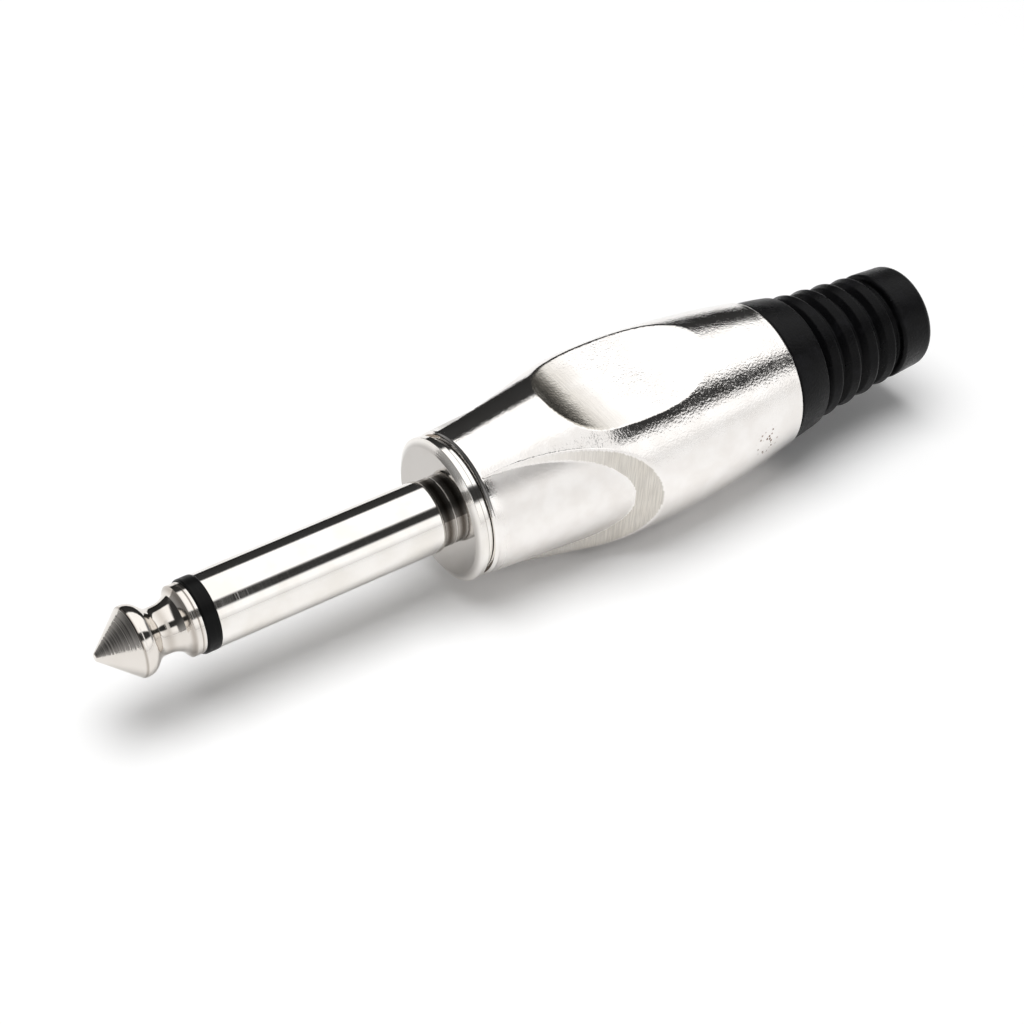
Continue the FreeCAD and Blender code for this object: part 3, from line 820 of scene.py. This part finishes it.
def make_boot():
    """Inner flange and neck, band, ridges, cap and the hole for the cable."""
    skin = Skin()
    flange_end = LIP_START - BOOT_CLEARANCE
    outline = [(BOOT_START, THROAT_RADIUS), (BOOT_START, BOOT_FLANGE_RADIUS, 0.1),
               (flange_end, BOOT_FLANGE_RADIUS, 0.1), (flange_end, BOOT_NECK_RADIUS, 0.1),
               (BAND_START, BOOT_NECK_RADIUS, 0.05), (BAND_START, BAND_RADIUS, 0.25)]
    outline += arc_points((BAND_START, BAND_RADIUS), (BAND_END, BAND_END_RADIUS), BAND_ROUND, 6)
    outline += [(BAND_END, BAND_END_RADIUS, 0.3), (BAND_END + 0.05, 5.0, 0.25)]
    for index in range(RIDGES):
        start = RIDGES_START + RIDGE_SPACING * index
        radius = RIDGE_RADIUS - RIDGE_TAPER * index
        outline += [(start - 0.3, radius - RIDGE_HEIGHT + 0.03, 0.25),
                    (start + 0.25, radius - 0.24, 0.3), (start + RIDGE_LENGTH, radius, 0.3),
                    (start + RIDGE_LENGTH + 0.11, radius - RIDGE_HEIGHT, 0.25)]
    outline += [(CAP_START - 0.05, 4.35, 0.2), (CAP_START + 0.02, CAP_RADIUS, 0.35),
                (BOOT_END, CAP_END_RADIUS, 0.75), (BOOT_END, CABLE_RADIUS, 0.25),
                (THROAT_END, CABLE_RADIUS, 0.05), (THROAT_END, THROAT_RADIUS, 0.1)]
    skin.turn(outline, closed=True, columns=160, facet=12.0)
    skin.make("boot_sleeve", RUBBER, "boot", "boot_rubber", "boot")


make_tip()
make_black_ring()
make_sleeve()
make_shell()
make_boot()


# Floor and light

FLOOR_REACH = 1.5  # metres
FLOOR_SHADE = (0.8, 0.8, 0.8, 1.0)
FLOOR_SEEN = (0.96, 0.96, 0.96, 1.0)
WHITE = (1.0, 1.0, 1.0, 1.0)

# Levels of light round the plug's axis, by their angle in degrees: 0 is beyond the plug as the
# camera sees it, 90 is above it and 180 is on the camera's side.
LIGHT_BANDS = (
    (-180, 0.95), (-90, 0.9), (-8, 0.25), (4, 0.03), (42, 0.05), (47, 1.5), (118, 1.5),
    (123, 0.1), (128, 0.04), (144, 0.05), (150, 1.4), (164, 1.4), (180, 0.95))
BRIGHTEST_BAND = 1.5
BAND_STRENGTH = 1.3
DUSK_HIGH = 0.04
DUSK_RISE = 0.34
STRIP_LEVEL = 1.04
DIFFUSE_LEVEL = 0.24
BACKDROP_LEVEL = 1.0

KEY_PLACE = np.array([-0.02, 0.02, 0.4])  # metres
KEY_SIZE = 0.38  # metres
KEY_POWER = 1.5  # watts


def make_floor():
    """A white floor that glows a little where it is seen, and more the farther away it is."""
    mesh = bpy.data.meshes.new("floor")
    corners = [(-FLOOR_REACH, -FLOOR_REACH, 0), (FLOOR_REACH, -FLOOR_REACH, 0),
               (FLOOR_REACH, FLOOR_REACH, 0), (-FLOOR_REACH, FLOOR_REACH, 0)]
    mesh.from_pydata(corners, [], [(0, 1, 2, 3)])
    material = bpy.data.materials.new("floor_white")
    graph = Graph(material)
    rays = graph.node("ShaderNodeLightPath").outputs
    seen = graph.math("ADD", rays["Is Camera Ray"], rays["Is Glossy Ray"])
    seen = graph.math("ADD", seen, rays["Is Transmission Ray"], clamp=True)
    cloth = graph.node("ShaderNodeBsdfDiffuse", {"Color": graph.mix(seen, FLOOR_SHADE, FLOOR_SEEN)})
    place = graph.node("ShaderNodeNewGeometry").outputs["Position"]
    distance = graph.node("ShaderNodeVectorMath", {0: place}, operation="LENGTH").outputs["Value"]
    level = graph.math("MULTIPLY_ADD", graph.spread(distance, 0.05, 0.5), 0.55, 0.05)
    glow = graph.node("ShaderNodeEmission", {
        "Color": WHITE, "Strength": graph.math("MULTIPLY", seen, level)})
    both = graph.node("ShaderNodeAddShader", {0: cloth.outputs[0], 1: glow.outputs[0]})
    graph.node("ShaderNodeOutputMaterial", {"Surface": both.outputs[0]})
    mesh.materials.append(material)
    floor = bpy.data.objects.new("floor", mesh)
    bpy.context.scene.collection.objects.link(floor)


def band_light(graph, way):
    """The level of the long bands in a direction."""
    angle = graph.math("ARCTAN2", way["Z"], way["Y"])
    part = graph.math("MULTIPLY_ADD", angle, 1 / (2 * math.pi), 0.5)
    ramp = graph.node("ShaderNodeValToRGB", {"Fac": part})
    elements = ramp.color_ramp.elements
    while len(elements) < len(LIGHT_BANDS):
        elements.new(0.5)
    for element, (degrees, level) in zip(elements, LIGHT_BANDS):
        level /= BRIGHTEST_BAND
        element.position = degrees / 360 + 0.5
        element.color = (level, level, level, 1.0)
    return graph.math("MULTIPLY", ramp.outputs["Color"], BAND_STRENGTH)


def make_world():
    """Soft light in long bands beside the plug, bright and dark, as polished metal shows them,
    dusk beyond its two ends, and a bright strip on the camera's side."""
    world = bpy.data.worlds.new("studio")
    bpy.context.scene.world = world
    graph = Graph(world)
    direction = graph.node("ShaderNodeTexCoord").outputs["Generated"]
    way = graph.node("ShaderNodeSeparateXYZ", {"Vector": direction}).outputs
    ends = graph.math("ADD", graph.spread(way["X"], 0.84, 0.94), graph.spread(way["X"], -0.25, -0.4))
    dusk = graph.math("MULTIPLY_ADD", graph.spread(way["Z"], 0.7, -0.1), DUSK_RISE, DUSK_HIGH)
    level = graph.blend(ends, band_light(graph, way), dusk)
    strip = graph.math("MULTIPLY", graph.spread(way["X"], 0.3, 0.26), graph.spread(way["X"], 0.1, 0.15))
    strip = graph.math("MULTIPLY", strip, graph.spread(way["Y"], -0.2, -0.4))
    level = graph.blend(strip, level, STRIP_LEVEL)
    rays = graph.node("ShaderNodeLightPath").outputs
    level = graph.blend(rays["Is Diffuse Ray"], level, DIFFUSE_LEVEL)
    level = graph.blend(rays["Is Camera Ray"], level, BACKDROP_LEVEL)
    background = graph.node("ShaderNodeBackground", {"Color": WHITE, "Strength": level})
    graph.node("ShaderNodeOutputWorld", {"Surface": background.outputs[0]})


def stand(name, data, right, up, back, place):
    """Put a lamp or a camera in the scene by the directions of its own three axes."""
    thing = bpy.data.objects.new(name, data)
    bpy.context.scene.collection.objects.link(thing)
    rows = np.column_stack([right, up, back, place]).tolist()
    thing.matrix_world = Matrix(rows + [[0.0, 0.0, 0.0, 1.0]])
    return thing


def make_lamp():
    """A soft key light over the plug that no metal mirrors."""
    light = bpy.data.lights.new("key", "AREA")
    light.shape = "DISK"
    light.size = KEY_SIZE
    light.energy = KEY_POWER
    back = unit(KEY_PLACE)
    right = unit(np.cross([0.0, 0.0, 1.0], back))
    lamp = stand("key", light, right, np.cross(back, right), back, KEY_PLACE)
    lamp.visible_glossy = False


# Camera

# Pixels, then millimetres
PHOTO_SIZE = 1024
FLANGE_PIXEL = (437.67, 511.2)
FLANGE_DISTANCE = 200.0
SENSOR = 36.0
LENS = 84.375
AXIS_TURN = math.radians(-23.49)
AXIS_DIP = math.radians(26.05)


def make_camera():
    """The photograph's view: which way the plug's axis runs and where the middle of the
    flange's face is, with x to the right, y down and z away from the camera."""
    along = np.array([math.cos(AXIS_DIP) * math.cos(AXIS_TURN),
                      math.cos(AXIS_DIP) * math.sin(AXIS_TURN), math.sin(AXIS_DIP)])
    tilt = math.atan2(-along[1], along[2])
    high = np.array([0.0, -math.cos(tilt), -math.sin(tilt)])
    axes = np.array([along, np.cross(high, along), high])
    pixels_per_mm = LENS / SENSOR * PHOTO_SIZE / FLANGE_DISTANCE
    flange_seen = np.array([(FLANGE_PIXEL[0] - PHOTO_SIZE / 2) / pixels_per_mm,
                            (FLANGE_PIXEL[1] - PHOTO_SIZE / 2) / pixels_per_mm, FLANGE_DISTANCE])
    place = np.array([APEX_X + FLANGE * MM, 0.0, AXIS_Z]) - axes @ flange_seen * MM
    data = bpy.data.cameras.new("camera")
    data.lens = LENS
    data.sensor_width = SENSOR
    data.sensor_fit = "HORIZONTAL"
    data.clip_start = 0.01
    data.clip_end = 20.0
    camera = stand("camera", data, axes[:, 0], -axes[:, 1], -axes[:, 2], place)
    bpy.context.scene.camera = camera


make_floor()
make_world()
make_lamp()
make_camera()
bpy.context.scene.view_settings.view_transform = "Standard"
